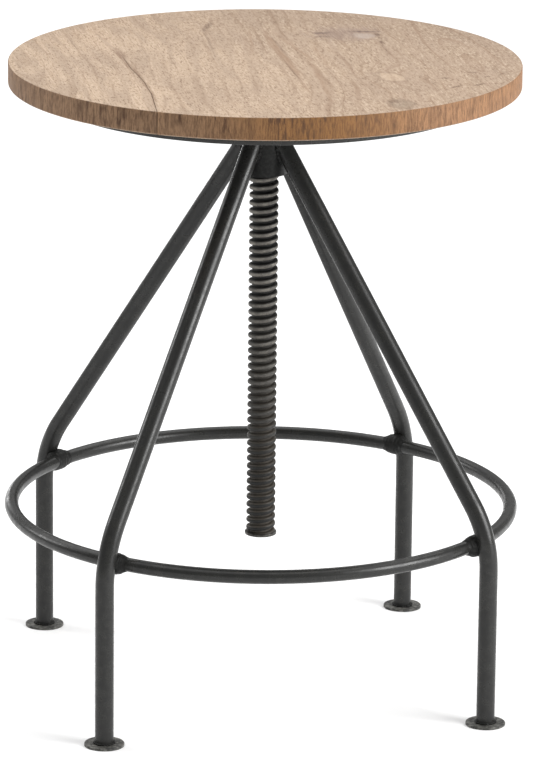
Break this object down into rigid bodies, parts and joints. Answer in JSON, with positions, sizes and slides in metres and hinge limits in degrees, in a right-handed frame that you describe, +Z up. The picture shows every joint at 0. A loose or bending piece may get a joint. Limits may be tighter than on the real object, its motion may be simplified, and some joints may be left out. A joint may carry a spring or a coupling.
{
  "type": "bar stool",
  "caption": "Screw-height bar stool: round wooden seat on a threaded steel spindle that turns up and down in the hub of a bent-tube frame with a foot ring.",
  "frame": {"origin": "on the floor, under the spindle's axis", "axes": "+Z up along the spindle, -Y the front, +X to the right seen from the front; the seat's boards run along Y"},
  "size_m": [0.3864, 0.3864, 0.4763],
  "materials": {
    "seat_wood": "matt oiled hardwood with open grain, knots and a fine crack",
    "black_steel": "satin black coat, lightly mottled",
    "foot_steel": "worn black coat on rough steel",
    "weld_steel": "black-coated weld bead",
    "spindle_steel": "dark oiled steel, worn bright on the thread's crests",
    "screw_steel": "dull zinc"
  },
  "bodies": {
    "frame": {"hub_collar": "black_steel", "hub_nut": "spindle_steel", "leg_front_left": "black_steel", "leg_front_right": "black_steel", "leg_rear_right": "black_steel", "leg_rear_left": "black_steel", "foot_disc_front_left": "foot_steel", "foot_disc_front_right": "foot_steel", "foot_disc_rear_right": "foot_steel", "foot_disc_rear_left": "foot_steel", "foot_ring": "black_steel", "hub_welds": "weld_steel", "ring_welds": "weld_steel", "foot_welds": "weld_steel"},
    "stop": {"stop_washer": "spindle_steel"},
    "seat": {"seat_board_left_outer": "seat_wood", "seat_board_left_inner": "seat_wood", "seat_board_right_inner": "seat_wood", "seat_board_right_outer": "seat_wood", "seat_plate": "black_steel", "seat_plate_rim": "black_steel", "spindle_flange": "black_steel", "rim_welds": "weld_steel", "spindle_weld": "weld_steel", "spindle": "spindle_steel", "stop_screw": "spindle_steel", "seat_plate_screws": "screw_steel", "flange_screws": "screw_steel"}
  },
  "joints": [
    {"name": "seat_lift", "type": "slide", "parent": "frame", "child": "stop", "axis": [0, 0, 1], "range_m": [0, 0.2778]},
    {"name": "seat_turn", "type": "hinge", "parent": "stop", "child": "seat", "pos_m": [0, 0, 0.4], "axis": [0, 0, 1], "range_deg": [0, 16650]}
  ],
  "couplings": [
    {"joint": "seat_lift", "follows": "seat_turn", "m_per_rad": 0.00095493}
  ]
}
